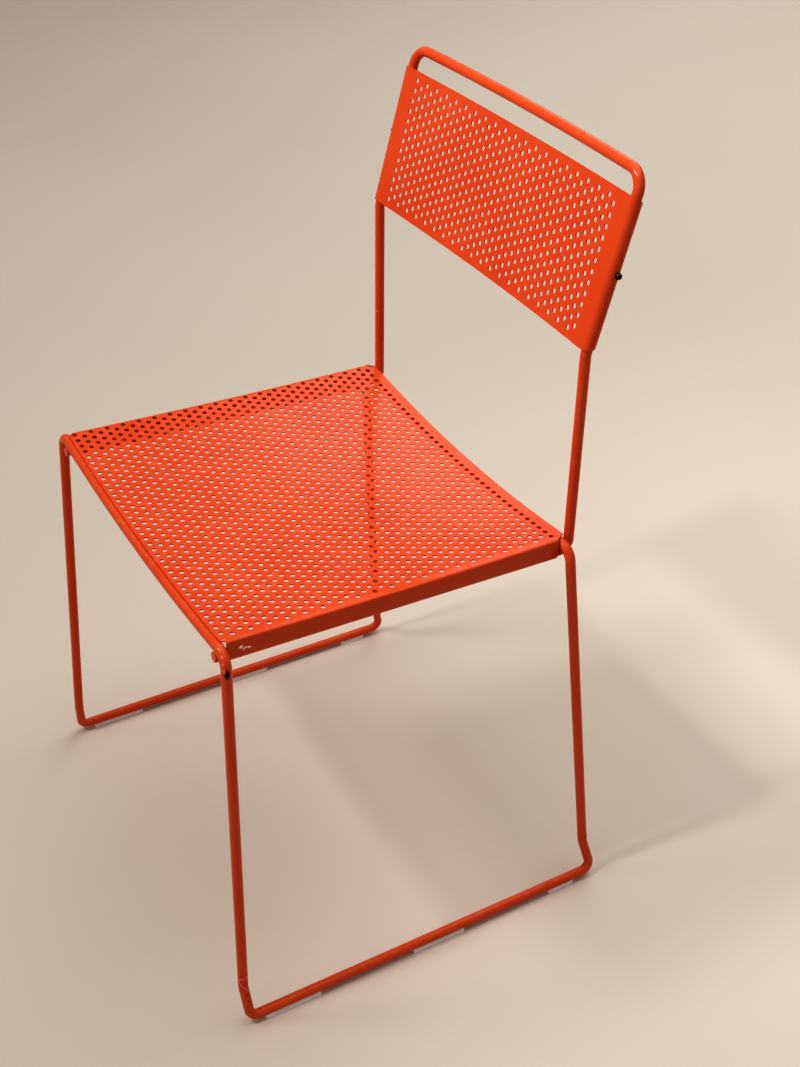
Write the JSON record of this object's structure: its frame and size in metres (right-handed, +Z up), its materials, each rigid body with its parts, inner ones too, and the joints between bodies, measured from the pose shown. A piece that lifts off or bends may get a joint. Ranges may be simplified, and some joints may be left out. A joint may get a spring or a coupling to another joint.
{
  "type": "metal chair",
  "caption": "Stacking chair of bent steel rod with a dished perforated sheet seat and a perforated back panel rolled round its uprights, on sled-type floor rails with plastic glides.",
  "frame": {"origin": "middle of the bounding box's footprint, on the floor", "axes": "+Z up, -Y towards the front of the seat, +X to the side seen nearer in the picture"},
  "size_m": [0.4872, 0.424, 0.7887],
  "materials": {
    "leg_rod": "satin orange-red powder coat",
    "back_rod": "satin orange-red powder coat",
    "seat_sheet": "satin orange-red powder coat",
    "back_sheet": "satin orange-red powder coat",
    "glide": "translucent natural nylon",
    "bumper": "glossy black"
  },
  "bodies": {
    "root": {"leg_frame": "leg_rod", "back_frame": "back_rod", "seat_pan": "seat_sheet", "back_panel": "back_sheet", "glide_front_left": "glide", "glide_front_right": "glide", "glide_middle_left": "glide", "glide_middle_right": "glide", "glide_back_left": "glide", "glide_back_right": "glide", "bumper_left": "bumper", "bumper_right": "bumper"}
  },
  "joints": []
}
